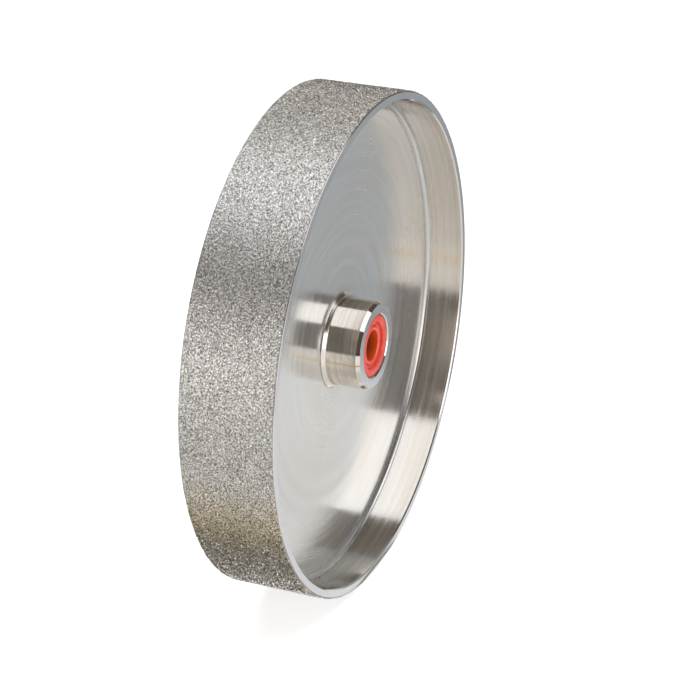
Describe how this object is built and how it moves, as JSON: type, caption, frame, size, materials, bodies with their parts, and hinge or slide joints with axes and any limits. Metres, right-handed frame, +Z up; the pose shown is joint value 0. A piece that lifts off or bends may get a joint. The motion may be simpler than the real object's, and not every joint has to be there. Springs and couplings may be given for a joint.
{
  "type": "diamond grinding wheel",
  "caption": "Wide steel grinding wheel with a diamond-coated rim, a thin web, a long hub and nested plastic bushes for smaller arbors.",
  "frame": {"origin": "centre of the wheel, on its axis and halfway through its width", "axes": "+Y along the wheel's axis towards its rear face, -Y out of its front face, +Z up and +X to the right as seen from the front"},
  "size_m": [0.2032, 0.0382, 0.2032],
  "materials": {
    "diamond_coat": "diamond grit in nickel, rough",
    "band_metal": "nickel plated, turned",
    "web_metal": "nickel plated, satin",
    "weld_metal": "nickel plated, polished bead",
    "hub_metal": "nickel plated, polished",
    "bush_plastic": "moulded, slightly clear"
  },
  "bodies": {
    "wheel": {"rim_band": "band_metal", "diamond_coat": "diamond_coat", "web_disc": "web_metal", "hub": "hub_metal", "rim_weld_front": "weld_metal", "rim_weld_rear": "weld_metal", "hub_collar_front": "hub_metal", "hub_collar_rear": "hub_metal"},
    "outer_bush_front": {"outer_bush_front": "bush_plastic"},
    "middle_bush_front": {"middle_bush_front": "bush_plastic"},
    "inner_bush_front": {"inner_bush_front": "bush_plastic"},
    "outer_bush_rear": {"outer_bush_rear": "bush_plastic"},
    "middle_bush_rear": {"middle_bush_rear": "bush_plastic"},
    "inner_bush_rear": {"inner_bush_rear": "bush_plastic"}
  },
  "joints": [
    {"name": "outer_bush_front_slide", "type": "slide", "parent": "wheel", "child": "outer_bush_front", "axis": [0, -1, 0], "range_m": [0, 0.02]},
    {"name": "middle_bush_front_slide", "type": "slide", "parent": "outer_bush_front", "child": "middle_bush_front", "axis": [0, -1, 0], "range_m": [0, 0.02]},
    {"name": "inner_bush_front_slide", "type": "slide", "parent": "middle_bush_front", "child": "inner_bush_front", "axis": [0, -1, 0], "range_m": [0, 0.02]},
    {"name": "outer_bush_rear_slide", "type": "slide", "parent": "wheel", "child": "outer_bush_rear", "axis": [0, 1, 0], "range_m": [0, 0.02]},
    {"name": "middle_bush_rear_slide", "type": "slide", "parent": "outer_bush_rear", "child": "middle_bush_rear", "axis": [0, 1, 0], "range_m": [0, 0.02]},
    {"name": "inner_bush_rear_slide", "type": "slide", "parent": "middle_bush_rear", "child": "inner_bush_rear", "axis": [0, 1, 0], "range_m": [0, 0.02]}
  ]
}
